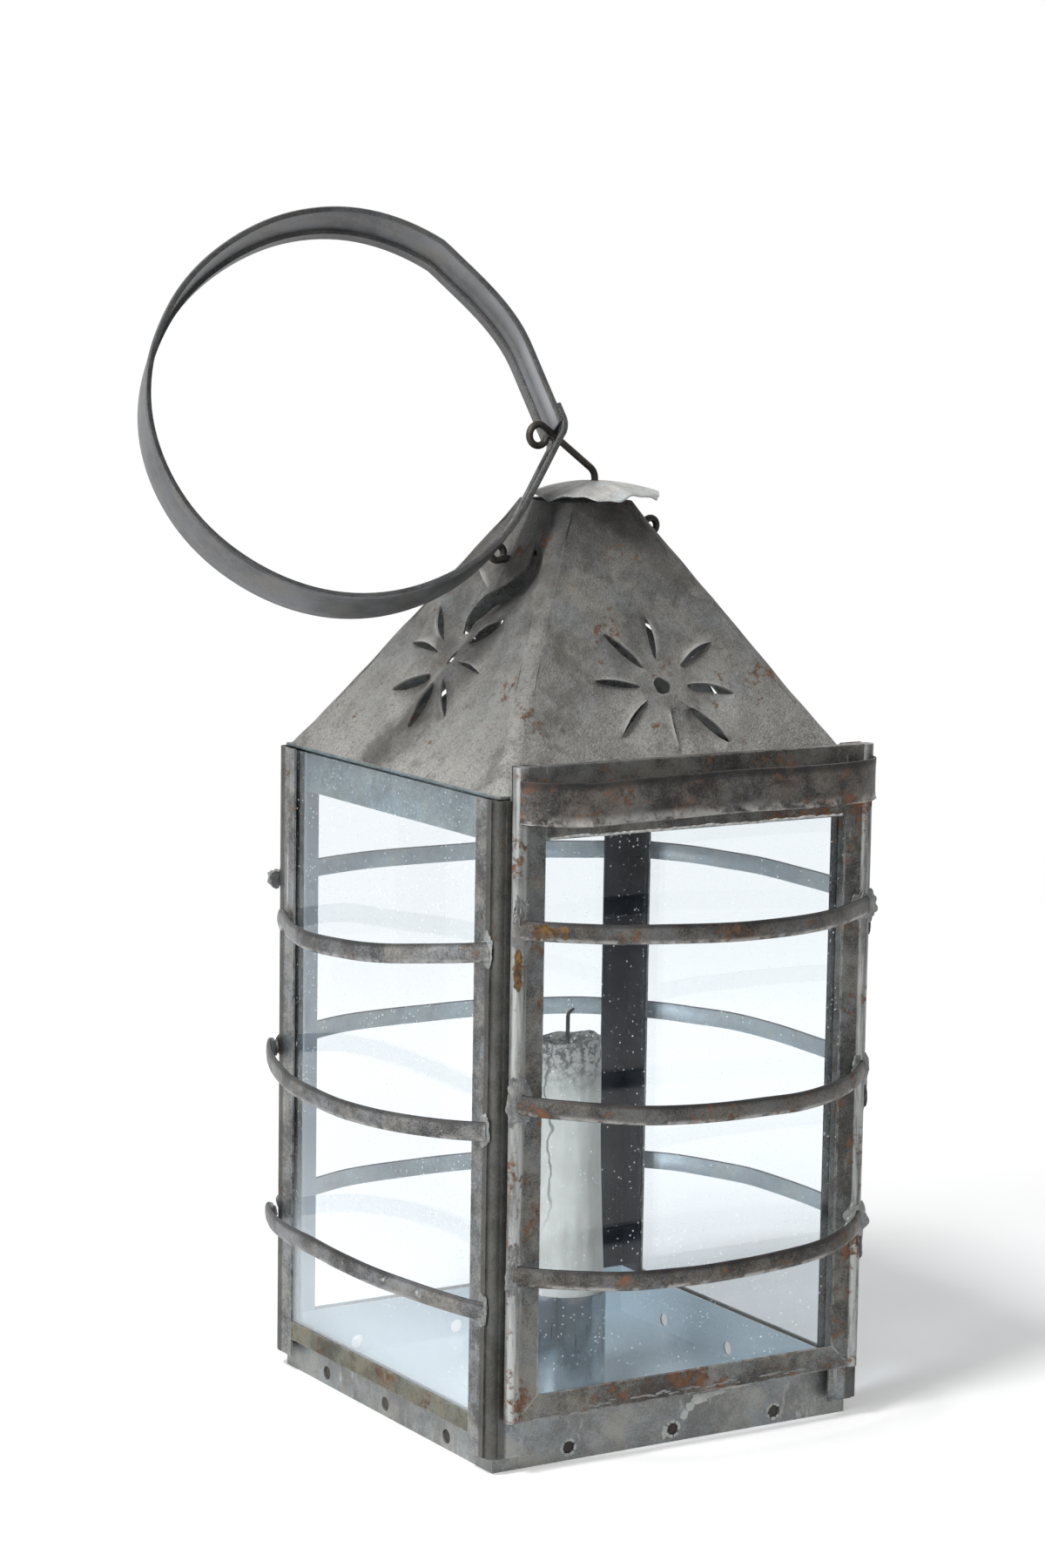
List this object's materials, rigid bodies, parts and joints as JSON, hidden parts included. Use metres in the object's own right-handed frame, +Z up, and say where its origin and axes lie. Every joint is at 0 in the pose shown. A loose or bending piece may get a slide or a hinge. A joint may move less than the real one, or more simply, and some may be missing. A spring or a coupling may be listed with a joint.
{
  "type": "punched tin candle lantern",
  "caption": "Square candle lantern of folded tinned sheet with glass sides, bowed guard strips, a lift-up sliding door, a pierced pyramid roof and a large carrying ring.",
  "frame": {"origin": "middle of the tray's underside", "axes": "+Z up, -Y out through the sliding door, -X towards the side that the ring leans over"},
  "size_m": [0.2177, 0.1819, 0.3536],
  "materials": {
    "tinned_sheet": "dull aged tin with rust spots and solder smears",
    "guard_strip": "dull aged tin, soldered ends",
    "ring_strip": "darkened tinned strip with rolled hems",
    "iron_wire": "dark rusty wire",
    "glass": "clear, dusty window glass",
    "wax": "dull wax with soot",
    "wick": "charred cotton"
  },
  "bodies": {
    "lantern_body": {"base_tray": "tinned_sheet", "post_front_left": "tinned_sheet", "post_front_right": "tinned_sheet", "post_back_right": "tinned_sheet", "post_back_left": "tinned_sheet", "rail_left": "tinned_sheet", "rail_right": "tinned_sheet", "rail_back": "tinned_sheet", "pane_left": "glass", "pane_right": "glass", "pane_back": "glass", "guard_left_upper": "guard_strip", "guard_left_middle": "guard_strip", "guard_left_lower": "guard_strip", "guard_right_upper": "guard_strip", "guard_right_middle": "guard_strip", "guard_right_lower": "guard_strip", "guard_back_upper": "guard_strip", "guard_back_middle": "guard_strip", "guard_back_lower": "guard_strip", "roof": "tinned_sheet", "cap": "tinned_sheet", "cross_wire": "iron_wire", "hanger_wire": "iron_wire", "candle_socket": "tinned_sheet"},
    "door": {"door_stile_left": "tinned_sheet", "door_stile_right": "tinned_sheet", "door_bottom_rail": "tinned_sheet", "door_top_plate": "tinned_sheet", "door_pane": "glass", "door_pull": "tinned_sheet", "guard_door_upper": "guard_strip", "guard_door_middle": "guard_strip", "guard_door_lower": "guard_strip"},
    "ring": {"ring_handle": "ring_strip"},
    "candle": {"candle": "wax", "wick": "wick"}
  },
  "joints": [
    {"name": "door_slide", "type": "slide", "parent": "lantern_body", "child": "door", "axis": [0, 0, 1], "range_m": [0, 0.17]},
    {"name": "ring_swing", "type": "hinge", "parent": "lantern_body", "child": "ring", "pos_m": [-0.01068, -0.00371, 0.28237], "axis": [-0.0523, 0.9986, 0], "range_deg": [0, 60]},
    {"name": "candle_lift", "type": "slide", "parent": "lantern_body", "child": "candle", "axis": [0, 0, 1], "range_m": [0, 0.034]}
  ]
}
